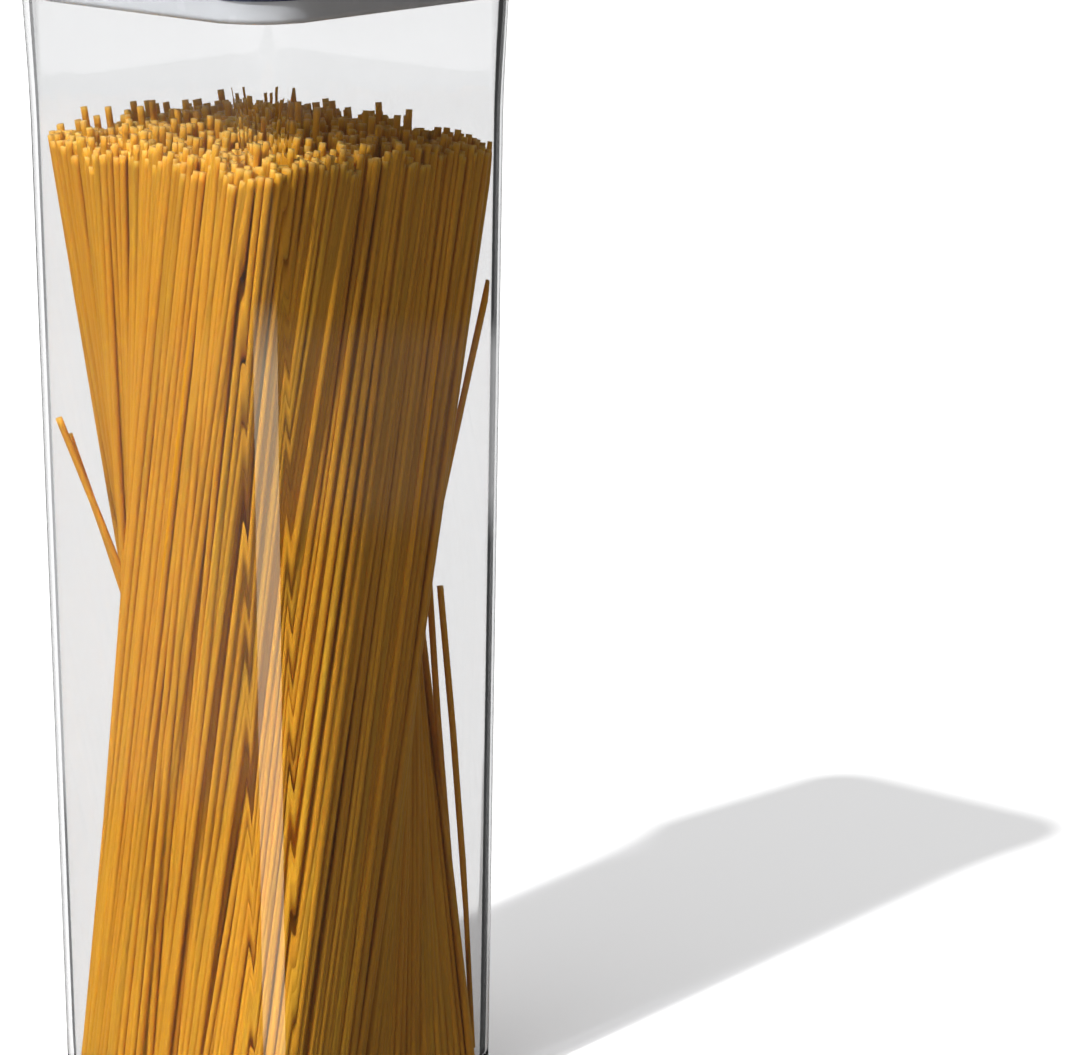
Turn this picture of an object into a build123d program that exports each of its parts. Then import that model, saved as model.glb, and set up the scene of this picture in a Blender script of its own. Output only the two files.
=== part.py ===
"""Tall square food canister with a push-button airtight lid, in millimetres.

The origin is the centre of the underside, +Z is up, and the walls face +X, -X, +Y and -Y.
The model is at rest: the lid is seated, and the button is down and latched.
"""

import os

from build123d import *

# ---- driving dimensions: canister ----
BASE_HALF = 42.4  # half the outer width at the underside
DRAFT = 0.0122  # outward lean of each wall, mm per mm of height
CORNER_R = 8.5  # outer corner radius of the drafted wall
WALL = 2.4
RIM_Z = 311.0
SHOULDER_Z = 262.0  # the mouth starts to flare here
FLARE = 3.1  # how far the mouth flares beyond the draft
RIM_CORNER_R = 16.0
FLARE_STEPS = 6
FLOOR_Z = 7.0
FLOOR_FILLET = 4.0
FOOT_FILLET = 2.0
FOOT_RECESS_HALF = 34.0
FOOT_RECESS_R = 6.0
FOOT_RECESS_DEPTH = 3.2
RIM_FILLET = 0.7

# ---- driving dimensions: lid ----
SEAT_GAP = 0.3  # between the lid frame and the rim
GAP = 0.3  # between pieces that move past each other
LID_TOP_Z = 320.0
FRAME_HALF = 51.2
FRAME_CORNER_R = 18.0
FRAME_PLATE = 2.4
FRAME_TOP_FILLET = 2.4
FRAME_LOW_FILLET = 0.8
WELL_FILLET = 0.7
PLUG_HALF = 45.6  # outer half width of the part that enters the mouth
PLUG_CORNER_R = 15.4
PLUG_WALL = 2.0
PLUG_FLOOR = 2.2
PLUG_BOTTOM_Z = 296.0
PLUG_LOW_FILLET = 1.6
PLUG_SHOULDER_Z = 302.0  # top edge of the lid base, where the seal sits
COLLAR_Z = 309.5  # underside of the frame's collar, on top of the seal
SEAL_CORNER_R = 13.5
SEAL_LIP = 0.65
SEAL_LIP_HEIGHT = 1.3
SEAL_LIP_Z = (303.2, 305.1, 307.0)
POST_AT = 33.5
POST_R = 3.2

# ---- driving dimensions: button and latch ----
BUTTON_R = 24.1
WELL_R = 24.5
WELL_WALL = 1.6
WELL_DEPTH = 4.8
CAP_HEIGHT = 3.2
CAP_FILLET = 0.9
DISH_R = 19.0
DISH_DEPTH = 0.8
BARREL_BORE_R = 21.5
BARREL_BOTTOM_Z = 300.3
WEB = 2.3
TAPER_TOP_Z = 312.0
TAPER = 0.125  # inward lean of the barrel below TAPER_TOP_Z, mm per mm
HOOK_R = 25.6
HOOK_WIDTH = 6.0
HOOK_HEIGHT = 2.6
HOOK_ROOT = 0.5  # how far each hook starts inside the barrel's wall
SHAFT_R = 3.0
FLANGE_R = 8.5
FLANGE = 1.5
ROTOR_R = 4.3
ROTOR_FIT = 0.06
ROTOR_BOTTOM_Z = 299.7
ROTOR_HEIGHT = 5.2
LOBE_R = 5.0
LOBE_WIDTH = 2.0
NOTCH_COUNT = 8
NOTCH_WIDTH = 1.0
NOTCH_DEPTH = 1.6
STEP_HEIGHT = 1.5  # of the plunger's step above the rotor
KNOB = 0.8  # of the cone that keeps the rotor on the plunger
SLEEVE_BORE_R = 5.3
SLEEVE_R = 7.0
SLEEVE_FOOT = 1.5  # width and height of the foot that joins it to the tray
SPRING_R = 10.5
SPRING_WIRE_R = 0.7
SPRING_TURNS = 4.5

# ---- driving dimensions: seal pushers ----
PUSHER_WIDTH = 16.0
PUSHER_PLATE_Z = 306.2
PUSHER_PLATE = 3.0
PUSHER_BAR_HALF = 28.0
PUSHER_BAR = 1.8
PUSHER_BAR_BOTTOM_Z = 302.8
PUSHER_TAIL_END = 27.5
PUSHER_OVERLAP = 2.0  # how far the blank reaches past the cone before it is cut
CONE_BELOW = 1.0  # how far the cone runs on below the plate
GUIDE_START = 29.0
GUIDE_END = 39.0
GUIDE_CHEEK = 1.5
GUIDE_RIB = 2.0

# ---- worked out from them ----
FRAME_BOTTOM_Z = RIM_Z + SEAT_GAP
PLATE_Z = LID_TOP_Z - FRAME_PLATE
PLUG_INNER_HALF = PLUG_HALF - PLUG_WALL
PLUG_INNER_R = PLUG_CORNER_R - PLUG_WALL
PLUG_FLOOR_Z = PLUG_BOTTOM_Z + PLUG_FLOOR
CAP_Z = LID_TOP_Z - CAP_HEIGHT
WEB_Z = CAP_Z - WEB
PUSHER_BAR_OUT = PLUG_INNER_HALF - GAP
PUSHER_PLATE_TOP_Z = PUSHER_PLATE_Z + PUSHER_PLATE


def flare_share(z):
    """How much of the mouth's flare is reached at height z, from 0 to 1."""
    t = max(0.0, (z - SHOULDER_Z) / (RIM_Z - SHOULDER_Z))
    return t * t * (3.0 - 2.0 * t)


def wall_half(z):
    """Half the outer width of the canister at height z."""
    return BASE_HALF + DRAFT * z + FLARE * flare_share(z)


def wall_corner(z):
    """Outer corner radius of the canister at height z."""
    return CORNER_R + (RIM_CORNER_R - CORNER_R) * flare_share(z)


def barrel_radius(z):
    """Outer radius of the button barrel at height z, at rest."""
    return BUTTON_R - TAPER * max(0.0, TAPER_TOP_Z - z)


def rounded_square(z, half, corner):
    """A rounded square sketch at height z, centred on the axis."""
    with BuildSketch(Plane.XY.offset(z)) as outline:
        RectangleRounded(2 * half, 2 * half, corner)
    return outline.sketch


def rounded_ring(z, half, corner):
    """A square ring sketch at height z, from one outline in to the inside of the lid base."""
    with BuildSketch(Plane.XY.offset(z)) as outline:
        RectangleRounded(2 * half, 2 * half, corner)
        RectangleRounded(2 * PLUG_INNER_HALF, 2 * PLUG_INNER_HALF, PLUG_INNER_R, mode=Mode.SUBTRACT)
    return outline.sketch


def wall_section(z, inset):
    """The canister's outline at height z, moved in by inset."""
    return rounded_square(z, wall_half(z) - inset, wall_corner(z) - inset)


def mouth_sections(inset):
    """Outlines of the flared mouth, evenly spaced from the shoulder to the rim."""
    rise = (RIM_Z - SHOULDER_Z) / FLARE_STEPS
    return [wall_section(SHOULDER_Z + rise * step, inset) for step in range(FLARE_STEPS + 1)]


def save(builder, name):
    """Label a finished piece and write it."""
    builder.part.label = name
    export_step(builder.part, f"parts/{name}.step")


os.makedirs("parts", exist_ok=True)

# ---- canister: one clear moulding, open at the top ----
with BuildPart() as cavity:
    loft(sections=[wall_section(FLOOR_Z, WALL), wall_section(SHOULDER_Z, WALL)], ruled=True)
    loft(sections=mouth_sections(WALL))
    fillet(cavity.edges().group_by(Axis.Z)[0], FLOOR_FILLET)

with BuildPart() as canister_body:
    loft(sections=[wall_section(0.0, 0.0), wall_section(SHOULDER_Z, 0.0)], ruled=True)
    loft(sections=mouth_sections(0.0))
    fillet(canister_body.edges().group_by(Axis.Z)[0], FOOT_FILLET)
    add(cavity.part, mode=Mode.SUBTRACT)
    foot_recess = rounded_square(0.0, FOOT_RECESS_HALF, FOOT_RECESS_R)
    extrude(foot_recess, amount=FOOT_RECESS_DEPTH, mode=Mode.SUBTRACT)
    fillet(canister_body.edges().group_by(Axis.Z)[-1], RIM_FILLET)
save(canister_body, "canister_body")

# ---- lid frame: top plate, outer edge, collar over the seal, and the button's well ----
with BuildPart() as lid_frame:
    extrude(rounded_square(FRAME_BOTTOM_Z, FRAME_HALF, FRAME_CORNER_R), amount=LID_TOP_Z - FRAME_BOTTOM_Z)
    fillet(lid_frame.edges().group_by(Axis.Z)[-1], FRAME_TOP_FILLET)
    fillet(lid_frame.edges().group_by(Axis.Z)[0], FRAME_LOW_FILLET)
    frame_hollow = rounded_square(FRAME_BOTTOM_Z, PLUG_INNER_HALF, PLUG_INNER_R)
    extrude(frame_hollow, amount=PLATE_Z - FRAME_BOTTOM_Z, mode=Mode.SUBTRACT)
    extrude(rounded_ring(COLLAR_Z, PLUG_HALF, PLUG_CORNER_R), amount=FRAME_BOTTOM_Z - COLLAR_Z)
    with BuildSketch(Plane.XY.offset(LID_TOP_Z - WELL_DEPTH)):
        Circle(WELL_R + WELL_WALL)
    extrude(amount=WELL_DEPTH - FRAME_PLATE)
    with BuildSketch(Plane.XY.offset(LID_TOP_Z - WELL_DEPTH)):
        Circle(WELL_R)
    extrude(amount=WELL_DEPTH, mode=Mode.SUBTRACT)
    well_edges = lid_frame.edges().filter_by(GeomType.CIRCLE).group_by(Axis.Z)[-1]
    fillet(well_edges.sort_by(SortBy.RADIUS)[-1], WELL_FILLET)
save(lid_frame, "lid_frame")

# ---- lid base: the tray that enters the mouth, with posts up to the frame and pusher guides ----
with BuildPart() as lid_base:
    extrude(rounded_square(PLUG_BOTTOM_Z, PLUG_HALF, PLUG_CORNER_R), amount=PLUG_SHOULDER_Z - PLUG_BOTTOM_Z)
    fillet(lid_base.edges().group_by(Axis.Z)[0], PLUG_LOW_FILLET)
    tray_hollow = rounded_square(PLUG_FLOOR_Z, PLUG_INNER_HALF, PLUG_INNER_R)
    extrude(tray_hollow, amount=PLUG_SHOULDER_Z - PLUG_FLOOR_Z, mode=Mode.SUBTRACT)
    with BuildSketch(Plane.XY.offset(PLUG_FLOOR_Z)):
        with GridLocations(2 * POST_AT, 2 * POST_AT, 2, 2):
            Circle(POST_R)
    extrude(amount=PLATE_Z - PLUG_FLOOR_Z)
    with BuildSketch(Plane.XY.offset(PLUG_FLOOR_Z)):
        with PolarLocations((GUIDE_START + GUIDE_END) / 2, 4):
            Rectangle(GUIDE_END - GUIDE_START, GUIDE_RIB)
    extrude(amount=PUSHER_PLATE_Z - GAP - PLUG_FLOOR_Z)
    for side in (-1, 1):
        cheek_at = side * (PUSHER_WIDTH / 2 + GAP + GUIDE_CHEEK / 2)
        with BuildSketch(Plane.XY.offset(PLUG_FLOOR_Z)):
            with PolarLocations((GUIDE_START + GUIDE_END) / 2, 4):
                with Locations((0, cheek_at)):
                    Rectangle(GUIDE_END - GUIDE_START, GUIDE_CHEEK)
        extrude(amount=PUSHER_PLATE_TOP_Z - PLUG_FLOOR_Z)
save(lid_base, "lid_base")

# ---- seal gasket: silicone band with three wiping lips, between the lid base and the collar ----
with BuildPart() as seal_gasket:
    extrude(rounded_ring(PLUG_SHOULDER_Z, PLUG_HALF, SEAL_CORNER_R), amount=COLLAR_Z - PLUG_SHOULDER_Z)
    for lip_z in SEAL_LIP_Z:
        extrude(rounded_ring(lip_z, PLUG_HALF + SEAL_LIP, SEAL_CORNER_R), amount=SEAL_LIP_HEIGHT)
save(seal_gasket, "seal_gasket")

# ---- push button: the round cap, with a shallow finger dish ----
with BuildPart() as push_button:
    with BuildSketch(Plane.XY.offset(CAP_Z)):
        Circle(BUTTON_R)
    extrude(amount=CAP_HEIGHT)
    fillet(push_button.edges().group_by(Axis.Z)[-1], CAP_FILLET)
    ball_r = (DISH_R**2 + DISH_DEPTH**2) / (2 * DISH_DEPTH)
    with Locations((0, 0, LID_TOP_Z - DISH_DEPTH + ball_r)):
        Sphere(ball_r, mode=Mode.SUBTRACT)
save(push_button, "push_button")

# ---- button barrel: the tapered sleeve that drives the pushers, with four stop hooks ----
with BuildPart() as button_barrel:
    with BuildSketch(Plane.XZ):
        with BuildLine():
            Polyline(
                (0, CAP_Z),
                (BUTTON_R, CAP_Z),
                (BUTTON_R, TAPER_TOP_Z),
                (barrel_radius(BARREL_BOTTOM_Z), BARREL_BOTTOM_Z),
                (BARREL_BORE_R, BARREL_BOTTOM_Z),
                (BARREL_BORE_R, WEB_Z),
                (0, WEB_Z),
                close=True,
            )
        make_face()
    revolve(axis=Axis.Z)
    hook_in = BARREL_BORE_R + HOOK_ROOT
    with BuildSketch(Plane.XY.offset(BARREL_BOTTOM_Z)):
        with PolarLocations((hook_in + HOOK_R) / 2, 4, start_angle=45):
            Rectangle(HOOK_R - hook_in, HOOK_WIDTH)
    extrude(amount=HOOK_HEIGHT)
save(button_barrel, "button_barrel")

# ---- latch plunger: the shaft under the button that carries the rotor ----
with BuildPart() as latch_plunger:
    flange_z = WEB_Z - FLANGE
    step_low = ROTOR_BOTTOM_Z + ROTOR_HEIGHT + GAP
    knob_z = ROTOR_BOTTOM_Z - GAP
    with BuildSketch(Plane.XZ):
        with BuildLine():
            Polyline(
                (0, WEB_Z),
                (FLANGE_R, WEB_Z),
                (FLANGE_R, flange_z),
                (SHAFT_R, flange_z),
                (SHAFT_R, step_low + STEP_HEIGHT),
                (ROTOR_R, step_low + STEP_HEIGHT),
                (ROTOR_R, step_low),
                (SHAFT_R, step_low),
                (SHAFT_R, knob_z),
                (SHAFT_R + KNOB, knob_z),
                (SHAFT_R, knob_z - KNOB),
                (0, knob_z - KNOB),
                close=True,
            )
        make_face()
    revolve(axis=Axis.Z)
save(latch_plunger, "latch_plunger")

# ---- latch rotor: the ratchet ring that turns on the plunger as the button moves ----
with BuildPart() as latch_rotor:
    with BuildSketch(Plane.XY.offset(ROTOR_BOTTOM_Z)):
        Circle(ROTOR_R)
        with PolarLocations((SHAFT_R + LOBE_R) / 2, 4):
            Rectangle(LOBE_R - SHAFT_R, LOBE_WIDTH)
        Circle(SHAFT_R + ROTOR_FIT, mode=Mode.SUBTRACT)
    extrude(amount=ROTOR_HEIGHT)
    with Locations((0, 0, ROTOR_BOTTOM_Z + ROTOR_HEIGHT)):
        with PolarLocations(LOBE_R, NOTCH_COUNT, start_angle=180 / NOTCH_COUNT):
            Box(2 * LOBE_R, NOTCH_WIDTH, NOTCH_DEPTH, mode=Mode.SUBTRACT, rotation=(45, 0, 0))
save(latch_rotor, "latch_rotor")

# ---- latch sleeve: the fixed tube that the rotor and plunger run in ----
with BuildPart() as latch_sleeve:
    with BuildSketch(Plane.XY.offset(PLUG_FLOOR_Z)):
        Circle(SLEEVE_R)
        Circle(SLEEVE_BORE_R, mode=Mode.SUBTRACT)
    extrude(amount=WEB_Z - FLANGE - GAP - PLUG_FLOOR_Z)
    with BuildSketch(Plane.XY.offset(PLUG_FLOOR_Z)):
        Circle(SLEEVE_R + SLEEVE_FOOT)
        Circle(SLEEVE_BORE_R, mode=Mode.SUBTRACT)
    extrude(amount=SLEEVE_FOOT)
save(latch_sleeve, "latch_sleeve")

# ---- button spring: an open compression coil round the sleeve ----
with BuildPart() as button_spring:
    spring_low = PLUG_FLOOR_Z + GAP + SPRING_WIRE_R
    spring_high = WEB_Z - GAP - SPRING_WIRE_R
    coil_height = spring_high - spring_low
    with BuildLine(Plane.XY.offset(spring_low)) as coil:
        Helix(pitch=coil_height / SPRING_TURNS, height=coil_height, radius=SPRING_R)
    with BuildSketch(Plane(origin=coil.line @ 0, z_dir=coil.line % 0)):
        Circle(SPRING_WIRE_R)
    sweep(is_frenet=True)
save(button_spring, "button_spring")


# ---- seal pushers: four slides that press the gasket outwards while the button is down ----
def seal_pusher(name, turn):
    """One pusher, made along +X and turned about the axis by turn degrees."""
    with BuildPart(Plane.XY.rotated((0, 0, turn))) as pusher:
        tail_start = barrel_radius(PUSHER_PLATE_Z) - PUSHER_OVERLAP
        plate_length = PUSHER_BAR_OUT - tail_start
        with Locations(((PUSHER_BAR_OUT + tail_start) / 2, 0, PUSHER_PLATE_Z + PUSHER_PLATE / 2)):
            Box(plate_length, PUSHER_WIDTH, PUSHER_PLATE)
        bar_height = PUSHER_PLATE_TOP_Z - PUSHER_BAR_BOTTOM_Z
        with Locations((PUSHER_BAR_OUT - PUSHER_BAR / 2, 0, PUSHER_BAR_BOTTOM_Z + bar_height / 2)):
            Box(PUSHER_BAR, 2 * PUSHER_BAR_HALF, bar_height)
        tail_length = PUSHER_TAIL_END - tail_start
        tail_height = TAPER_TOP_Z - PUSHER_PLATE_Z
        with Locations(((PUSHER_TAIL_END + tail_start) / 2, 0, PUSHER_PLATE_Z + tail_height / 2)):
            Box(tail_length, PUSHER_WIDTH, tail_height)
        cone_low = PUSHER_PLATE_Z - CONE_BELOW
        with Locations((0, 0, cone_low)):
            Cone(
                barrel_radius(cone_low) + GAP,
                barrel_radius(TAPER_TOP_Z) + GAP,
                TAPER_TOP_Z - cone_low,
                align=(Align.CENTER, Align.CENTER, Align.MIN),
                mode=Mode.SUBTRACT,
            )
    save(pusher, name)


for pusher_name, pusher_turn in (("pusher_px", 0), ("pusher_py", 90), ("pusher_nx", 180), ("pusher_ny", 270)):
    seal_pusher(pusher_name, pusher_turn)
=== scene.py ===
"""Looks for the tall square food canister: materials, the clear wall, light, floor and camera.

Everything is in metres, in the CAD frame: origin at the centre of the underside, +Z up.
The spaghetti is stage dressing: it shows what the canister holds, and it isn't part of the object.
"""

import math
import random

import bpy
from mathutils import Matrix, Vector


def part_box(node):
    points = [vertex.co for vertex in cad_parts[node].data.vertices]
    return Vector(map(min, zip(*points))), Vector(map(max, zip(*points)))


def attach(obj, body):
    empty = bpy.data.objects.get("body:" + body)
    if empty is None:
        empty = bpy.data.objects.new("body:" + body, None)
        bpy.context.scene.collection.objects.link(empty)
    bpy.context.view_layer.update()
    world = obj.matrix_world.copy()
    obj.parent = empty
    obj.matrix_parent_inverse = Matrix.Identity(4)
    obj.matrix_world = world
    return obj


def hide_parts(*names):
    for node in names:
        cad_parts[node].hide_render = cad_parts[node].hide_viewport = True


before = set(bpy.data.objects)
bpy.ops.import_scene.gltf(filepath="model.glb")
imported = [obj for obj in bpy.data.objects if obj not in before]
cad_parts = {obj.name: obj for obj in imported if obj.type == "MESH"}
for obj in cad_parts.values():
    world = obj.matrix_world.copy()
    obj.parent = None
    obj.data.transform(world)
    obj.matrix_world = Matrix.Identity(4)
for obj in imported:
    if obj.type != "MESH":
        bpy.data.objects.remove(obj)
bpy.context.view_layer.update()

MM = 0.001

# ---- the canister's own dimensions, as in the CAD ----
BASE_HALF = 42.4 * MM
DRAFT = 0.0122
CORNER_R = 8.5 * MM
WALL = 2.4 * MM
RIM_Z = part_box("canister_body")[1][2]
SHOULDER_Z = 262.0 * MM
FLARE = 3.1 * MM
RIM_CORNER_R = 16.0 * MM
FLOOR_Z = 7.0 * MM
FLOOR_FILLET = 4.0 * MM
FOOT_FILLET = 2.0 * MM
FOOT_RECESS_HALF = 34.0 * MM
FOOT_RECESS_R = 6.0 * MM
FOOT_RECESS_DEPTH = 3.2 * MM
RIM_FILLET = 0.7 * MM

# ---- mesh fineness of the clear wall ----
CORNER_STEPS = 16
SIDE_STEPS = 8
FILLET_STEPS = 6
RIM_STEPS = 4
WALL_STEPS = 16  # rings from the foot to the shoulder
FLARE_STEPS = 18  # rings from the shoulder to the rim
RECESS_RINGS = (0.25, 0.6, 0.9)  # sizes of the rings under the foot, as shares of the recess
FLOOR_RINGS = (0.92, 0.6, 0.25)  # sizes of the rings on the inner floor, as shares of its flat part
RECESS_EDGE = 0.4 * MM  # softening of the recess's edges
FLOOR_GAP = 2.0 * MM  # from the floor fillet to the first wall ring above it

# ---- surface noise: scales in cells per metre, depths in metres ----
NOISE_RANGE = (0.3, 0.7)  # where most of a noise texture's values lie
DRIFT_SCALE = 28.0  # moulded plastic: faint colour drift
GLOSS_SCALE = 90.0
GLOSS_SPREAD = (-0.04, 0.06)
FLOW_SCALE = 45.0
FLOW_DEPTH = 0.03 * MM
GRAIN_SCALE = 2600.0
HAZE_SCALE = 30.0  # clear plastic: faint haze and waves
HAZE_ROUGHNESS = 0.02
WAVE_SCALE = 16.0
WAVE_DEPTH = 0.02 * MM
DUST_SCALE = 220.0  # silicone
SHEEN_SCALE = 300.0
SKIN_SCALE = 1500.0
SKIN_DEPTH = 0.02 * MM
STREAK_SCALE = 1800.0  # spring wire
WIRE_GLOSS_SCALE = 700.0
WIRE_GRAIN_SCALE = 2400.0
WIRE_GRAIN_DEPTH = 0.01 * MM
DIE_SCALE = 1400.0  # pasta
DIE_DEPTH = 0.03 * MM

# ---- materials: pairs are a colour and its shade, or the two ends of a range ----
LID_WHITE = ((0.672, 0.677, 0.668), (0.662, 0.667, 0.661))
LID_GREY = ((0.68, 0.705, 0.735), (0.65, 0.675, 0.705))
LATCH_NATURAL = ((0.74, 0.74, 0.71), (0.69, 0.69, 0.66))
SEAL_NAVY = ((0.028, 0.040, 0.080), (0.045, 0.060, 0.105))
SEAL_ROUGHNESS = (0.38, 0.55)
WIRE_GREY = ((0.50, 0.50, 0.51), (0.66, 0.66, 0.66))
WIRE_ROUGHNESS = (0.22, 0.38)
CLEAR_COLOUR = (0.845, 0.847, 0.85)
CLEAR_IOR = 1.53
SHADOW_TINTS = ((0.88, 0.88, 0.885), (0.35, 0.35, 0.36))  # on a wall met straight on, and along an edge
SHADOW_SLANT = (0.55, 0.9)  # how aslant a wall is met at the two ends
PASTA_DARK = (0.55, 0.230, 0.010)
PASTA_GOLD = (0.72, 0.352, 0.020)
PASTA_PALE = (0.72, 0.42, 0.085)
GOLD_TONE = 0.8  # tone of the golden strands; the dark is at 0, the pale broken ends at 1
PASTA_GLOW_THROUGH = 0.25  # share of light that scatters inside
PASTA_SCATTER = (1.0, 0.6, 0.25)
PASTA_SCATTER_DEPTH = 1.5 * MM
PASTA_ROUGHNESS = 0.5
PASTA_SPECULAR = 0.14

# ---- spaghetti ----
WALL_LAYERS = 3  # layers of strands that stand against the walls
WALL_STRANDS = 232  # strands in each of those layers
LAYER_STEP = 0.037  # from one layer to the next, as a share of the half width
BUNDLE = (3, 11)  # fewest and most neighbours that lean together
BUNDLE_SLIDE = math.radians(2.2)  # spread of the feet of whole bundles round the wall
BUNDLE_LENGTH = 0.9  # spread of the length of whole bundles, in mm
BUNDLE_SINK = 0.014  # spread of how far bundles stand in from the wall
LOOSE_STRANDS = 760
STAGGER = 0.5  # how far each layer is shifted along the wall, in strands
JITTER = 0.3  # largest shift of one strand along the wall, in strands
SQUARENESS = 16  # power of the rounded square that the bundle fills
TOP_LEAN = 0.06  # how much shorter the strands get towards the right corner
STRAND_LENGTH = 255.0 * MM
STRAND_R = 0.93 * MM
STRAND_SIDES = 7
LENGTH_SPREAD = 1.2  # of single strands, in mm
FOOT_RAISE = (-1.0, 2.6)  # mean and spread of the feet's height above the floor in mm, 0 at least
FOOT_INSET = 2.2 * MM  # from the wall's inside to the outermost feet
HEAD_INSET = 1.05 * MM
BOW = 0.5 * MM  # spread of how far strands bend aside
BENDS = (0.3, 0.7)  # where along a strand it bends
TONE = (0.48, 0.12)  # mean and spread of the strands' tones
PALE_END = 2.5 * MM  # length of the pale, starchy end
FOOT_RING = 1.0 * MM  # from the foot to the next ring, so that the foot's cap doesn't shade the strand
TWIST = math.radians(58.0)
SEED = 11
CLUMPING = 0.035  # how far strands draw together, as a share of the half width
SCATTER = 0.012  # spread of single strands, as a share of the half width
FOOT_WAVES = ((9.0, 2.0), (8.0, 1.0))  # rate and start of the waves that feet draw together in
HEAD_WAVES = ((11.0, 0.0), (10.0, 4.0))
TINY = 1e-6
# Strays: how far across the view and how high the head is, then the foot, then how far back, in mm.
STRAYS = (
    (-54.5, 186.0, -22.0, 96.0, 0.0),
    (-52.0, 181.0, -24.0, 88.0, 3.0),
    (56.5, 221.0, 22.0, 60.0, 2.0),
    (43.5, 138.0, 52.5, 9.0, 6.0),
    (40.5, 141.0, 50.0, 9.0, 9.0),
)

# ---- camera: a long lens that frames the canister from its front right corner ----
CAMERA_AZIMUTH = math.radians(46.27)
CAMERA_DISTANCE = 1.3343
CAMERA_HEIGHT = 0.4624
CAMERA_PITCH = math.radians(12.965)
CAMERA_PAN = math.radians(3.03)
CAMERA_LENS = 173.09
SENSOR = 36.0
CAMERA_FAR = 60.0

# ---- floor ----
FLOOR_REACH = 12.0
FLOOR_DROP = 0.05 * MM  # how far it lies below the canister's foot
FLOOR_WHITE = (0.92, 0.92, 0.92, 1.0)
FLOOR_ROUGHNESS = 0.9

# ---- floor, as other surfaces see it: a painted dark reflection, painted dark edge lines and a painted highlight in the clear walls, and painted shade in the light it throws back ----
FLOOR_BOUNCE = (0.50, 0.45, 0.41)  # its colour in the light that it throws back: painted shade, dimmer and warmer than the floor looks, which darkens and warms the shaded sides
PAINTED_DARK_REFLECTION = (0.045, 0.045, 0.045)  # painted dark reflection: the floor's colour in reflections, near black
CORNER_REACH = 58.0 * MM  # from the axis to the corners
EDGE_RIGHT = (1.0, 0.27)  # floor seen through the clear wall's right edge, painted dark there: side, and how far the wedge leans back
EDGE_LEFT = (-1.0, 0.9)
# Painted greys of those wedges, for the dark and grey lines in the clear walls' edges, by distance from the
# axis in metres.
EDGE_RIGHT_PAINTED_SHADE = ((0.0, 0.03), (0.66, 0.03), (0.74, 0.22), (1.02, 0.22), (1.10, 0.03))
EDGE_LEFT_PAINTED_SHADE = ((0.0, 0.12), (0.30, 0.12), (0.36, 0.34), (1.02, 0.34), (1.10, 0.22))
EDGE_FAR = 1.4  # where the distances above end
# Painted highlight: the floor glows warm only in reflections, in a wedge ahead of the front corner, so the
# corner shows a bright band.
GLOW_OPENING = 0.9  # half width of the wedge ahead of the front corner that glows in reflections, per metre ahead
GLOW_START = (0.07, 0.15)  # from here to there, by distance from the axis, the glow rises
GLOW_END = (0.95, 1.10)  # and from here to there it ends
GLOW = 4.6
PAINTED_HIGHLIGHT_COLOUR = (1.0, 0.86, 0.62, 1.0)

# ---- key light ----
KEY_TRAVEL = math.radians(98.8)  # the way the light travels over the floor, from +X
KEY_ELEVATION = math.radians(46.3)
KEY_POWER = 2.85
KEY_ANGLE = math.radians(1.6)  # how wide the light looks; it softens the shadow's edge

# ---- room ----
ROOM_DARK_SIDE = (0.95, 0.31, 0.0)
ROOM_FADE = (0.08, 0.42)  # from here to there towards the dark side, white turns to grey
ROOM_WHITE = (1.0, 1.0, 1.0, 1.0)
ROOM_GREY = (0.26, 0.26, 0.27, 1.0)
ROOM_BACKDROP = (1.3, 1.3, 1.3, 1.0)  # its colour behind the object
ROOM_STRENGTH = 1.06


# =====================================================================================
# shape helpers
# =====================================================================================
def flare_share(z):
    """How much of the mouth's flare is reached at height z, from 0 to 1."""
    t = max(0.0, (z - SHOULDER_Z) / (RIM_Z - SHOULDER_Z))
    return t * t * (3.0 - 2.0 * t)


def wall_half(z):
    """Half the outer width of the canister at height z."""
    return BASE_HALF + DRAFT * z + FLARE * flare_share(z)


def wall_corner(z):
    """Outer corner radius of the canister at height z."""
    return CORNER_R + (RIM_CORNER_R - CORNER_R) * flare_share(z)


def square_ring(half, corner, z):
    """Points round a rounded square at height z, corner arcs and sides evenly divided."""
    points = []
    for quarter in range(4):
        turn = math.pi / 2 * quarter
        cos_turn, sin_turn = math.cos(turn), math.sin(turn)
        local = []
        for step in range(CORNER_STEPS + 1):
            angle = math.pi / 2 * step / CORNER_STEPS
            reach = half - corner
            local.append((reach + corner * math.cos(angle), reach + corner * math.sin(angle)))
        start, end = local[-1], (-(half - corner), half)
        for step in range(1, SIDE_STEPS):
            share = step / SIDE_STEPS
            local.append((start[0] + (end[0] - start[0]) * share, half))
        for x, y in local:
            points.append((x * cos_turn - y * sin_turn, x * sin_turn + y * cos_turn, z))
    return points


def skin(name, rings):
    """A closed mesh through rings of the same point count, capped at both ends."""
    count = len(rings[0])
    points = [point for ring in rings for point in ring]
    faces = []
    for row in range(len(rings) - 1):
        for i in range(count):
            j = (i + 1) % count
            low, high = row * count, (row + 1) * count
            faces.append((low + i, low + j, high + j, high + i))
    for row, flip in ((0, True), (len(rings) - 1, False)):
        centre = len(points)
        points.append((0.0, 0.0, rings[row][0][2]))
        for i in range(count):
            j = (i + 1) % count
            a, b = row * count + i, row * count + j
            faces.append((centre, b, a) if flip else (centre, a, b))
    mesh = bpy.data.meshes.new(name)
    mesh.from_pydata(points, [], faces)
    mesh.validate()
    mesh.shade_smooth()
    piece = bpy.data.objects.new(name, mesh)
    bpy.context.scene.collection.objects.link(piece)
    return piece


def quarter_arc(steps):
    """Sine and cosine pairs from 0 to 90 degrees."""
    angles = [math.pi / 2 * k / steps for k in range(steps + 1)]
    return [(math.sin(angle), math.cos(angle)) for angle in angles]


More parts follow.
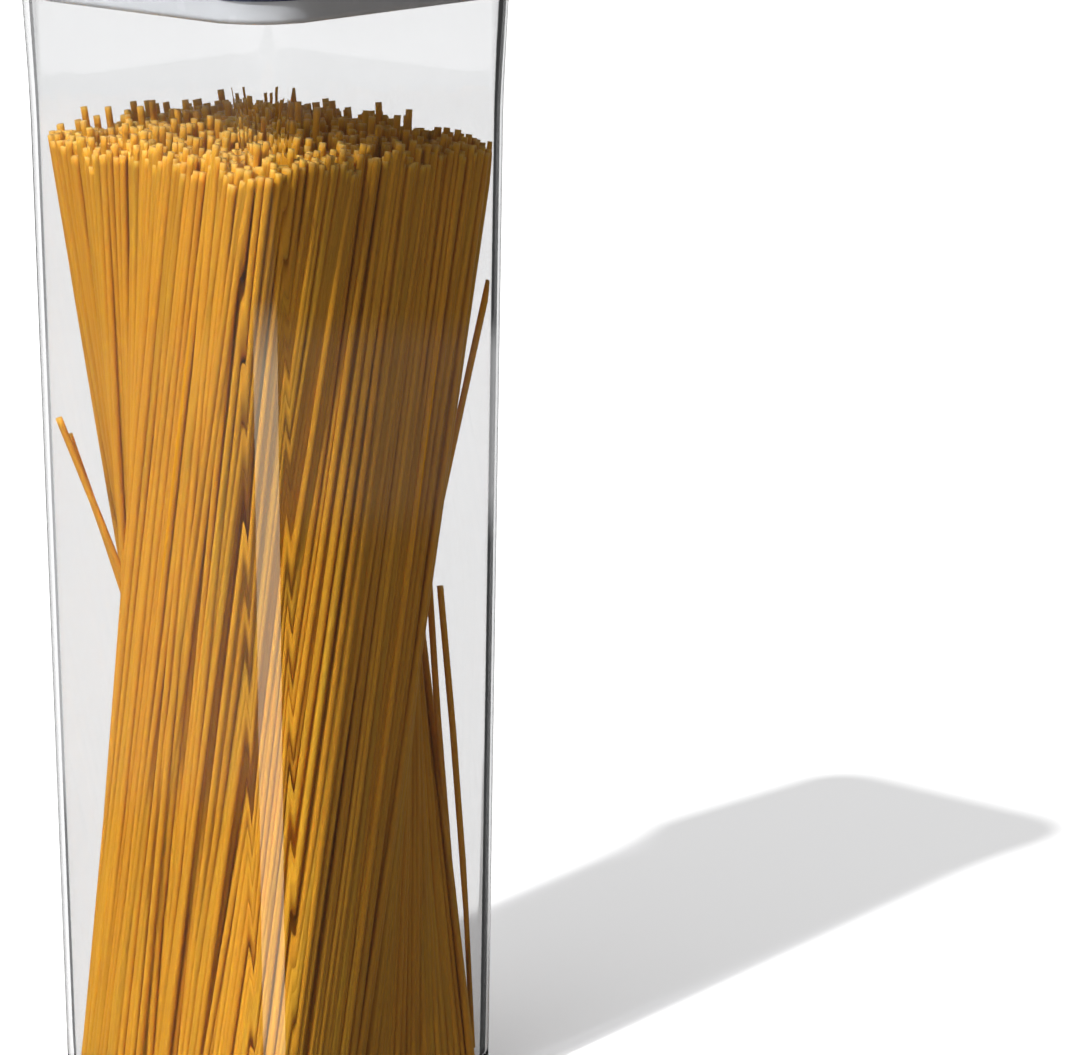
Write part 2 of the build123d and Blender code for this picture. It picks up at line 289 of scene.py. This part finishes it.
def canister_rings():
    """Rings of the clear canister: under the foot, up the outside, over the rim, down to the floor."""
    def section(z, inset):
        return square_ring(wall_half(z) - inset, wall_corner(z) - inset, z)

    rings = []
    for share in RECESS_RINGS:
        rings.append(square_ring(FOOT_RECESS_HALF * share, FOOT_RECESS_R * share, FOOT_RECESS_DEPTH))
    for wider, z in (
        (-RECESS_EDGE, FOOT_RECESS_DEPTH),
        (0.0, FOOT_RECESS_DEPTH - RECESS_EDGE),
        (0.0, RECESS_EDGE),
        (RECESS_EDGE, 0.0),
    ):
        rings.append(square_ring(FOOT_RECESS_HALF + wider, FOOT_RECESS_R + wider, z))
    for sine, cosine in quarter_arc(FILLET_STEPS):
        rings.append(section(FOOT_FILLET * (1 - cosine), FOOT_FILLET * (1 - sine)))
    straight = [FOOT_FILLET + (SHOULDER_Z - FOOT_FILLET) * k / WALL_STEPS for k in range(1, WALL_STEPS + 1)]
    flare_top = RIM_Z - RIM_FILLET
    flared = [SHOULDER_Z + (flare_top - SHOULDER_Z) * k / FLARE_STEPS for k in range(1, FLARE_STEPS + 1)]
    for z in straight + flared[:-1]:
        rings.append(section(z, 0.0))
    for sine, cosine in quarter_arc(RIM_STEPS):
        rings.append(section(flare_top + RIM_FILLET * sine, RIM_FILLET * (1 - cosine)))
    for sine, cosine in quarter_arc(RIM_STEPS):
        rings.append(section(flare_top + RIM_FILLET * cosine, WALL - RIM_FILLET * (1 - sine)))
    floor_top = FLOOR_Z + FLOOR_FILLET
    inner = [z for z in straight if z > floor_top + FLOOR_GAP]
    for z in reversed(inner + flared[:-1]):
        rings.append(section(z, WALL))
    for sine, cosine in quarter_arc(FILLET_STEPS):
        rings.append(section(floor_top - FLOOR_FILLET * sine, WALL + FLOOR_FILLET * (1 - cosine)))
    last_half = wall_half(FLOOR_Z) - WALL - FLOOR_FILLET
    last_corner = wall_corner(FLOOR_Z) - WALL - FLOOR_FILLET
    for share in FLOOR_RINGS:
        rings.append(square_ring(last_half * share, last_corner * share, FLOOR_Z))
    return rings


# =====================================================================================
# materials
# =====================================================================================
def new_material(name):
    """An empty node material, its shader and its output."""
    material = bpy.data.materials.new(name)
    material.use_nodes = True
    tree = material.node_tree
    shader = tree.nodes["Principled BSDF"]
    output = tree.nodes["Material Output"]
    return material, tree, shader, output


def object_noise(tree, scale, detail=2.0, roughness=0.5):
    """A noise texture on object coordinates; scale is in cells per metre."""
    coordinates = tree.nodes.new("ShaderNodeTexCoord")
    noise = tree.nodes.new("ShaderNodeTexNoise")
    noise.inputs["Scale"].default_value = scale
    noise.inputs["Detail"].default_value = detail
    noise.inputs["Roughness"].default_value = roughness
    tree.links.new(coordinates.outputs["Object"], noise.inputs["Vector"])
    return noise.outputs["Fac"]


def ranged(tree, source, low, high):
    """A noise's values spread over low to high."""
    spread = tree.nodes.new("ShaderNodeMapRange")
    spread.inputs["From Min"].default_value = NOISE_RANGE[0]
    spread.inputs["From Max"].default_value = NOISE_RANGE[1]
    spread.inputs["To Min"].default_value = low
    spread.inputs["To Max"].default_value = high
    tree.links.new(source, spread.inputs["Value"])
    return spread.outputs["Result"]


def add_bump(tree, shader, source, distance, strength=1.0):
    """A bump of the given depth in metres, on top of any bump the shader has."""
    bump = tree.nodes.new("ShaderNodeBump")
    bump.inputs["Distance"].default_value = distance
    bump.inputs["Strength"].default_value = strength
    tree.links.new(source, bump.inputs["Height"])
    if shader.inputs["Normal"].is_linked:
        tree.links.new(shader.inputs["Normal"].links[0].from_socket, bump.inputs["Normal"])
    tree.links.new(bump.outputs["Normal"], shader.inputs["Normal"])


def mix_colours(tree, share, first, second):
    """A colour between first and second by share."""
    mix = tree.nodes.new("ShaderNodeMix")
    mix.data_type = "RGBA"
    mix.inputs["A"].default_value = (*first, 1.0)
    mix.inputs["B"].default_value = (*second, 1.0)
    tree.links.new(share, mix.inputs["Factor"])
    return mix.outputs["Result"]


def moulded_plastic(name, colours, gloss, grain):
    """Moulded plastic: faint colour drift, uneven gloss, spark-eroded grain and slight flow waves."""
    material, tree, shader, _ = new_material(name)
    drift = ranged(tree, object_noise(tree, DRIFT_SCALE, 3.0), 0.0, 1.0)
    tree.links.new(mix_colours(tree, drift, *colours), shader.inputs["Base Color"])
    smoother, rougher = (gloss + change for change in GLOSS_SPREAD)
    roughness = ranged(tree, object_noise(tree, GLOSS_SCALE, 4.0), smoother, rougher)
    tree.links.new(roughness, shader.inputs["Roughness"])
    add_bump(tree, shader, object_noise(tree, FLOW_SCALE, 1.0), FLOW_DEPTH)
    add_bump(tree, shader, object_noise(tree, GRAIN_SCALE, 2.0), grain)
    shader.inputs["Specular IOR Level"].default_value = 0.5
    return material


def clear_plastic(name):
    """Polished clear plastic of real thickness; it lets shadow rays through, tinted."""
    material, tree, shader, output = new_material(name)
    shader.inputs["Base Color"].default_value = (*CLEAR_COLOUR, 1.0)
    shader.inputs["Transmission Weight"].default_value = 1.0
    shader.inputs["IOR"].default_value = CLEAR_IOR
    haze = ranged(tree, object_noise(tree, HAZE_SCALE, 3.0), 0.0, HAZE_ROUGHNESS)
    tree.links.new(haze, shader.inputs["Roughness"])
    add_bump(tree, shader, object_noise(tree, WAVE_SCALE, 1.0), WAVE_DEPTH)
    passing = tree.nodes.new("ShaderNodeBsdfTransparent")
    slant = tree.nodes.new("ShaderNodeLayerWeight")
    slant.inputs["Blend"].default_value = 0.5
    share = stepped(tree, slant.outputs["Facing"], *SHADOW_SLANT)
    tree.links.new(mix_colours(tree, share, *SHADOW_TINTS), passing.inputs["Color"])
    path = tree.nodes.new("ShaderNodeLightPath")
    shadow = path.outputs["Is Shadow Ray"]
    surface = mix_shader(tree, shadow, shader.outputs["BSDF"], passing.outputs["BSDF"])
    tree.links.new(surface, output.inputs["Surface"])
    return material


def silicone(name):
    """Dark silicone: soft sheen with a dusty, slightly uneven surface."""
    material, tree, shader, _ = new_material(name)
    dust = ranged(tree, object_noise(tree, DUST_SCALE, 5.0, 0.7), 0.0, 1.0)
    tree.links.new(mix_colours(tree, dust, *SEAL_NAVY), shader.inputs["Base Color"])
    sheen = ranged(tree, object_noise(tree, SHEEN_SCALE, 3.0), *SEAL_ROUGHNESS)
    tree.links.new(sheen, shader.inputs["Roughness"])
    add_bump(tree, shader, object_noise(tree, SKIN_SCALE, 3.0), SKIN_DEPTH)
    return material


def spring_steel(name):
    """Drawn stainless wire: lengthwise streaks and a soft metal shine."""
    material, tree, shader, _ = new_material(name)
    shader.inputs["Metallic"].default_value = 1.0
    streaks = ranged(tree, object_noise(tree, STREAK_SCALE, 4.0), 0.0, 1.0)
    tree.links.new(mix_colours(tree, streaks, *WIRE_GREY), shader.inputs["Base Color"])
    gloss = ranged(tree, object_noise(tree, WIRE_GLOSS_SCALE, 3.0), *WIRE_ROUGHNESS)
    tree.links.new(gloss, shader.inputs["Roughness"])
    add_bump(tree, shader, object_noise(tree, WIRE_GRAIN_SCALE, 2.0), WIRE_GRAIN_DEPTH)
    return material


def pasta_material(name):
    """Durum pasta: amber, slightly translucent, rough from a bronze die, with paler broken ends."""
    material, tree, shader, _ = new_material(name)
    tone = tree.nodes.new("ShaderNodeAttribute")
    tone.attribute_name = "strand_tone"
    ramp = tree.nodes.new("ShaderNodeValToRGB")
    dark, pale = ramp.color_ramp.elements
    dark.color = (*PASTA_DARK, 1.0)
    pale.color = (*PASTA_PALE, 1.0)
    golden = ramp.color_ramp.elements.new(GOLD_TONE)
    golden.color = (*PASTA_GOLD, 1.0)
    tree.links.new(tone.outputs["Fac"], ramp.inputs["Fac"])
    tree.links.new(ramp.outputs["Color"], shader.inputs["Base Color"])
    shader.inputs["Subsurface Weight"].default_value = PASTA_GLOW_THROUGH
    shader.inputs["Subsurface Radius"].default_value = PASTA_SCATTER
    shader.inputs["Subsurface Scale"].default_value = PASTA_SCATTER_DEPTH
    shader.inputs["Roughness"].default_value = PASTA_ROUGHNESS
    shader.inputs["Specular IOR Level"].default_value = PASTA_SPECULAR
    add_bump(tree, shader, object_noise(tree, DIE_SCALE, 3.0), DIE_DEPTH)
    return material


def math_node(tree, operation, first, second, clamped=True):
    """A maths node; each operand is a socket or a number."""
    node = tree.nodes.new("ShaderNodeMath")
    node.operation = operation
    node.use_clamp = clamped
    for socket, operand in zip(node.inputs, (first, second)):
        if isinstance(operand, float):
            socket.default_value = operand
        else:
            tree.links.new(operand, socket)
    return node.outputs["Value"]


def vector_node(tree, operation, vector=None):
    """A vector operation on the floor's own coordinates."""
    coordinates = tree.nodes.new("ShaderNodeTexCoord")
    node = tree.nodes.new("ShaderNodeVectorMath")
    node.operation = operation
    if vector is not None:
        node.inputs[1].default_value = vector
    tree.links.new(coordinates.outputs["Object"], node.inputs[0])
    return node.outputs["Value"]


def stepped(tree, source, low, high):
    """Source taken from 0 at low to 1 at high."""
    spread = tree.nodes.new("ShaderNodeMapRange")
    spread.inputs["From Min"].default_value = low
    spread.inputs["From Max"].default_value = high
    tree.links.new(source, spread.inputs["Value"])
    return spread.outputs["Result"]


def mix_shader(tree, share, first, second):
    """A shader between first and second by share."""
    mix = tree.nodes.new("ShaderNodeMixShader")
    tree.links.new(share, mix.inputs["Fac"])
    tree.links.new(first, mix.inputs[1])
    tree.links.new(second, mix.inputs[2])
    return mix.outputs["Shader"]


def plain_diffuse(tree, colour):
    """A diffuse shader of one colour."""
    shader = tree.nodes.new("ShaderNodeBsdfDiffuse")
    shader.inputs["Color"].default_value = (*colour, 1.0)
    return shader.outputs["BSDF"]


def toned(tree, source, far, tones):
    """A grey that follows a distance, from stops of distance and grey; far is where the distances end."""
    ramp = tree.nodes.new("ShaderNodeValToRGB")
    stops = ramp.color_ramp.elements
    while len(stops) < len(tones):
        stops.new(1.0)
    for stop, (distance, grey) in zip(stops, tones):
        stop.position = distance / far
        stop.color = (grey, grey, grey, 1.0)
    tree.links.new(stepped(tree, source, 0.0, far), ramp.inputs["Fac"])
    return ramp.outputs["Color"]


def painted_edge_shade(tree, tones):
    """A diffuse grey that changes with the distance from the axis: painted shade for the clear walls' edge
    lines.
    """
    shader = tree.nodes.new("ShaderNodeBsdfDiffuse")
    tree.links.new(toned(tree, vector_node(tree, "LENGTH"), EDGE_FAR, tones), shader.inputs["Color"])
    return shader.outputs["BSDF"]


def both(tree, first, second):
    """1 where both are 1; the product of two shares."""
    return math_node(tree, "MULTIPLY", first, second)


def painted_corner_highlight(tree, ahead, across):
    """How much each place on the floor ahead of the front corner glows in reflections: the painted
    highlight on the canister's front corner.
    """
    forward = math_node(tree, "SUBTRACT", vector_node(tree, "DOT_PRODUCT", ahead), CORNER_REACH)
    opening = math_node(tree, "MULTIPLY", forward, GLOW_OPENING, clamped=False)
    aside = math_node(tree, "ABSOLUTE", vector_node(tree, "DOT_PRODUCT", across), 0.0, clamped=False)
    inside = math_node(tree, "GREATER_THAN", opening, aside)
    distance = vector_node(tree, "LENGTH")
    rising = stepped(tree, distance, *GLOW_START)
    ending = math_node(tree, "SUBTRACT", 1.0, stepped(tree, distance, *GLOW_END))
    return both(tree, inside, both(tree, rising, ending))


def floor_material(name):
    """White floor whose light thrown back is dimmer and warmer as painted shade; in the clear walls it is
    painted dark in reflections, draws painted dark edge lines, and glows as a painted highlight ahead of
    the front corner.
    """
    material, tree, shader, output = new_material(name)
    shader.inputs["Base Color"].default_value = FLOOR_WHITE
    shader.inputs["Roughness"].default_value = FLOOR_ROUGHNESS
    shader.inputs["Specular IOR Level"].default_value = 0.0
    path = tree.nodes.new("ShaderNodeLightPath")
    passed = path.outputs["Is Transmission Ray"]
    mirrored = math_node(tree, "SUBTRACT", path.outputs["Is Glossy Ray"], passed)
    turned = math_node(tree, "GREATER_THAN", path.outputs["Glossy Depth"], 0.5)
    within = both(tree, passed, turned)
    ahead = Vector((math.sin(CAMERA_AZIMUTH), -math.cos(CAMERA_AZIMUTH), 0.0))
    across = Vector((-ahead.y, ahead.x, 0.0))
    surface = shader.outputs["BSDF"]
    # Painted shade: where the floor is seen through the clear walls after a glossy bounce, wedges to either
    # side turn dark and grey, which draws the walls' dark edge lines.
    for (side, lean), tones in ((EDGE_RIGHT, EDGE_RIGHT_PAINTED_SHADE), (EDGE_LEFT, EDGE_LEFT_PAINTED_SHADE)):
        wedge = vector_node(tree, "DOT_PRODUCT", across * side + ahead * lean)
        painted_edge_mask = both(tree, math_node(tree, "GREATER_THAN", wedge, CORNER_REACH), within)
        surface = mix_shader(tree, painted_edge_mask, surface, painted_edge_shade(tree, tones))
    # Painted dark reflection: in reflections the floor is near black, so the clear walls mirror no white
    # floor.
    surface = mix_shader(tree, mirrored, surface, plain_diffuse(tree, PAINTED_DARK_REFLECTION))
    # Painted highlight: in reflections only, the floor ahead of the front corner glows warm.
    emission = tree.nodes.new("ShaderNodeEmission")
    emission.inputs["Color"].default_value = PAINTED_HIGHLIGHT_COLOUR
    emission.inputs["Strength"].default_value = GLOW
    painted_highlight_share = both(tree, mirrored, painted_corner_highlight(tree, ahead, across))
    surface = mix_shader(tree, painted_highlight_share, surface, emission.outputs["Emission"])
    # Painted shade: light that the floor throws back is dimmer and warmer than the floor looks.
    bounced = math_node(tree, "GREATER_THAN", path.outputs["Diffuse Depth"], 0.5)
    surface = mix_shader(tree, bounced, surface, plain_diffuse(tree, FLOOR_BOUNCE))
    tree.links.new(surface, output.inputs["Surface"])
    return material


# =====================================================================================
# pieces
# =====================================================================================
def dress(node, material):
    """Give a CAD node a material in every slot."""
    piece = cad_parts[node]
    for slot in piece.material_slots:
        slot.material = material


def make_canister():
    """The clear canister, as fine rings, in place of its CAD node."""
    piece = skin("canister_clear", canister_rings())
    piece.data.materials.append(clear_plastic("clear_plastic_fine"))
    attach(piece, "canister")
    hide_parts("canister_body")


def dress_lid():
    """Materials of the lid's own CAD pieces."""
    white = moulded_plastic("lid_white_fine", LID_WHITE, gloss=0.30, grain=0.012 * MM)
    grey = moulded_plastic("lid_grey_fine", LID_GREY, gloss=0.24, grain=0.006 * MM)
    natural = moulded_plastic("latch_plastic_fine", LATCH_NATURAL, gloss=0.42, grain=0.010 * MM)
    for node in ("lid_frame", "push_button", "button_barrel"):
        dress(node, white)
    dress("lid_base", grey)
    dress("seal_gasket", silicone("seal_navy_fine"))
    for node in ("latch_plunger", "latch_rotor", "latch_sleeve"):
        dress(node, natural)
    for way in ("px", "py", "nx", "ny"):
        dress("pusher_" + way, natural)
    dress("button_spring", spring_steel("spring_steel_fine"))


# =====================================================================================
# stage: spaghetti, floor, light and camera
# =====================================================================================
def into_square(u, v, turn):
    """A point of the unit square, turned about the centre and kept inside the square."""
    reach = max(abs(u), abs(v))
    if reach < TINY:
        return u, v
    angle = math.atan2(v, u) + turn
    x, y = math.cos(angle), math.sin(angle)
    stretch = reach / max(abs(x), abs(y))
    return x * stretch, y * stretch


def corner_reach(x, y):
    """Reach of a point as a share of the rounded unit square's."""
    return (abs(x) ** SQUARENESS + abs(y) ** SQUARENESS) ** (1 / SQUARENESS)


def kept_inside(x, y):
    """The point, drawn in to the rounded unit square if it is outside."""
    reach = max(1.0, corner_reach(x, y))
    return x / reach, y / reach


def on_square(turns):
    """The point of the unit square's edge that lies this share of the way round, corners rounded."""
    angle = 2 * math.pi * turns
    x, y = math.cos(angle), math.sin(angle)
    reach = corner_reach(x, y)
    return x / reach, y / reach


def strand_places(dice):
    """Place in the unit square, slide of the foot and change of length of every strand."""
    places = []
    for layer in range(WALL_LAYERS):
        left_in_bundle = 0
        for index in range(WALL_STRANDS):
            if left_in_bundle == 0:
                left_in_bundle = dice.randint(*BUNDLE)
                slide = dice.gauss(0, BUNDLE_SLIDE)
                sink = abs(dice.gauss(0, BUNDLE_SINK))
                longer = dice.gauss(0, BUNDLE_LENGTH) * MM
            left_in_bundle -= 1
            reach = 1.0 - LAYER_STEP * layer - sink
            u, v = on_square((index + dice.uniform(-JITTER, JITTER) + STAGGER * layer) / WALL_STRANDS)
            places.append((u * reach, v * reach, slide, longer))
    inside = 1.0 - LAYER_STEP * WALL_LAYERS
    for _ in range(LOOSE_STRANDS):
        places.append((dice.uniform(-inside, inside), dice.uniform(-inside, inside), 0.0, 0.0))
    return places


def drawn_together(dice, place, sources, waves):
    """Where a strand's end moves to as neighbours draw together in waves, kept inside the square."""
    moved = [
        here + CLUMPING * math.sin(rate * source + start) + dice.gauss(0, SCATTER)
        for here, source, (rate, start) in zip(place, sources, waves)
    ]
    return kept_inside(*moved)


def strand_ends(dice, u, v, slide, longer):
    """Where a strand stands on the floor and where its top is, from its place in the bundle."""
    low = wall_half(FLOOR_Z) - WALL - FOOT_INSET
    top = wall_half(SHOULDER_Z) - WALL - HEAD_INSET
    foot_u, foot_v = drawn_together(dice, into_square(u, v, slide - TWIST), (v, u), FOOT_WAVES)
    head_u, head_v = drawn_together(dice, (u, v), (v, u), HEAD_WAVES)
    raised = max(0.0, dice.gauss(*FOOT_RAISE)) * MM
    foot = Vector((foot_u * low, foot_v * low, FLOOR_Z + STRAND_R + raised))
    head = Vector((head_u * top, head_v * top, 0.0))
    level = math.hypot(head.x - foot.x, head.y - foot.y)
    rightward = max(0.0, head.x * math.cos(CAMERA_AZIMUTH) + head.y * math.sin(CAMERA_AZIMUTH))
    length = STRAND_LENGTH + longer - TOP_LEAN * rightward + dice.gauss(0, LENGTH_SPREAD) * MM
    head.z = foot.z + math.sqrt(length**2 - level**2)
    return foot, head


def stray_ends(stray):
    """The ends of a loose strand, given across the view, up, and back from the axis."""
    head_across, head_up, foot_across, foot_up, back = (value * MM for value in stray)
    across = Vector((math.cos(CAMERA_AZIMUTH), math.sin(CAMERA_AZIMUTH), 0.0))
    away = Vector((-across.y, across.x, 0.0))
    up = Vector((0.0, 0.0, 1.0))
    foot = across * foot_across + away * back + up * foot_up
    head = across * head_across + away * back + up * head_up
    return foot, head


def tube(points, faces, path, radius, sides):
    """Add a capped tube along path to the point and face lists."""
    axis = (path[-1] - path[0]).normalized()
    side = axis.orthogonal().normalized()
    other = axis.cross(side)
    first = len(points)
    for centre in path:
        for k in range(sides):
            angle = 2 * math.pi * k / sides
            points.append(centre + (side * math.cos(angle) + other * math.sin(angle)) * radius)
    for row in range(len(path) - 1):
        for k in range(sides):
            n = (k + 1) % sides
            low = first + row * sides
            faces.append((low + k, low + n, low + sides + n, low + sides + k))
    faces.append(tuple(first + k for k in reversed(range(sides))))
    last = first + (len(path) - 1) * sides
    faces.append(tuple(last + k for k in range(sides)))


def make_spaghetti():
    """A twisted bundle of straight dry strands, standing on the canister's floor."""
    dice = random.Random(SEED)
    points, faces, tones = [], [], []
    ends = [strand_ends(dice, *place) for place in strand_places(dice)]
    ends += [stray_ends(stray) for stray in STRAYS]
    for foot, head in ends:
        bow = Vector((dice.gauss(0, 1), dice.gauss(0, 1), 0)) * BOW
        along = (head - foot).normalized()
        ankle = foot + along * FOOT_RING
        neck = head - along * PALE_END
        bends = [foot.lerp(head, share) + bow for share in BENDS]
        path = [foot, ankle, *bends, neck, head]
        tube(points, faces, path, STRAND_R, STRAND_SIDES)
        tone = min(GOLD_TONE, max(0.0, dice.gauss(*TONE)))
        tones.extend([tone] * STRAND_SIDES * (len(path) - 1))
        tones.extend([1.0] * STRAND_SIDES)
    mesh = bpy.data.meshes.new("spaghetti")
    mesh.from_pydata(points, [], faces)
    mesh.shade_smooth()
    attribute = mesh.attributes.new("strand_tone", "FLOAT", "POINT")
    attribute.data.foreach_set("value", tones)
    bundle = bpy.data.objects.new("spaghetti", mesh)
    bpy.context.scene.collection.objects.link(bundle)
    mesh.materials.append(pasta_material("durum"))


def make_floor():
    """A wide floor, plain white to the camera, whose material paints reflections and shade."""
    corners = [(x * FLOOR_REACH, y * FLOOR_REACH, 0) for x, y in ((-1, -1), (1, -1), (1, 1), (-1, 1))]
    mesh = bpy.data.meshes.new("floor")
    mesh.from_pydata(corners, [], [(0, 1, 2, 3)])
    floor = bpy.data.objects.new("floor", mesh)
    bpy.context.scene.collection.objects.link(floor)
    mesh.materials.append(floor_material("floor_white_painted_reflections"))
    floor.location.z = -FLOOR_DROP


def make_light():
    """One firm key light from the front left."""
    key_data = bpy.data.lights.new("key", "SUN")
    key_data.energy = KEY_POWER
    key_data.angle = KEY_ANGLE
    key = bpy.data.objects.new("key", key_data)
    travel = Vector((math.cos(KEY_TRAVEL), math.sin(KEY_TRAVEL), -math.tan(KEY_ELEVATION)))
    key.rotation_euler = travel.to_track_quat("-Z", "Y").to_euler()
    bpy.context.scene.collection.objects.link(key)


def make_room():
    """A pale room that is dim on the right."""
    world = bpy.data.worlds.new("room")
    world.use_nodes = True
    bpy.context.scene.world = world
    tree = world.node_tree
    background = tree.nodes["Background"]
    coordinates = tree.nodes.new("ShaderNodeTexCoord")
    facing = tree.nodes.new("ShaderNodeVectorMath")
    facing.operation = "DOT_PRODUCT"
    facing.inputs[1].default_value = ROOM_DARK_SIDE
    tree.links.new(coordinates.outputs["Generated"], facing.inputs[0])
    ramp = tree.nodes.new("ShaderNodeValToRGB")
    for stop, position, colour in zip(ramp.color_ramp.elements, ROOM_FADE, (ROOM_WHITE, ROOM_GREY)):
        stop.position = position
        stop.color = colour
    tree.links.new(facing.outputs["Value"], ramp.inputs["Fac"])
    path = tree.nodes.new("ShaderNodeLightPath")
    direct = math_node(tree, "MAXIMUM", path.outputs["Is Camera Ray"], path.outputs["Is Transmission Ray"])
    bounced = math_node(tree, "GREATER_THAN", path.outputs["Diffuse Depth"], 0.5)
    seen = math_node(tree, "SUBTRACT", direct, bounced)
    backdrop = tree.nodes.new("ShaderNodeMix")
    backdrop.data_type = "RGBA"
    backdrop.inputs["B"].default_value = ROOM_BACKDROP
    tree.links.new(seen, backdrop.inputs["Factor"])
    tree.links.new(ramp.outputs["Color"], backdrop.inputs["A"])
    tree.links.new(backdrop.outputs["Result"], background.inputs["Color"])
    background.inputs["Strength"].default_value = ROOM_STRENGTH


def make_camera():
    """A long lens from the front right corner, a little above the lid."""
    data = bpy.data.cameras.new("camera")
    data.lens = CAMERA_LENS
    data.sensor_width = SENSOR
    data.clip_end = CAMERA_FAR
    camera = bpy.data.objects.new("camera", data)
    camera.location = (
        math.sin(CAMERA_AZIMUTH) * CAMERA_DISTANCE,
        -math.cos(CAMERA_AZIMUTH) * CAMERA_DISTANCE,
        CAMERA_HEIGHT,
    )
    camera.rotation_euler = (math.pi / 2 - CAMERA_PITCH, 0.0, CAMERA_AZIMUTH - CAMERA_PAN)
    bpy.context.scene.collection.objects.link(camera)
    bpy.context.scene.camera = camera


make_camera()
make_canister()
dress_lid()
make_spaghetti()
make_floor()
make_light()
make_room()
bpy.context.scene.view_settings.view_transform = "Standard"
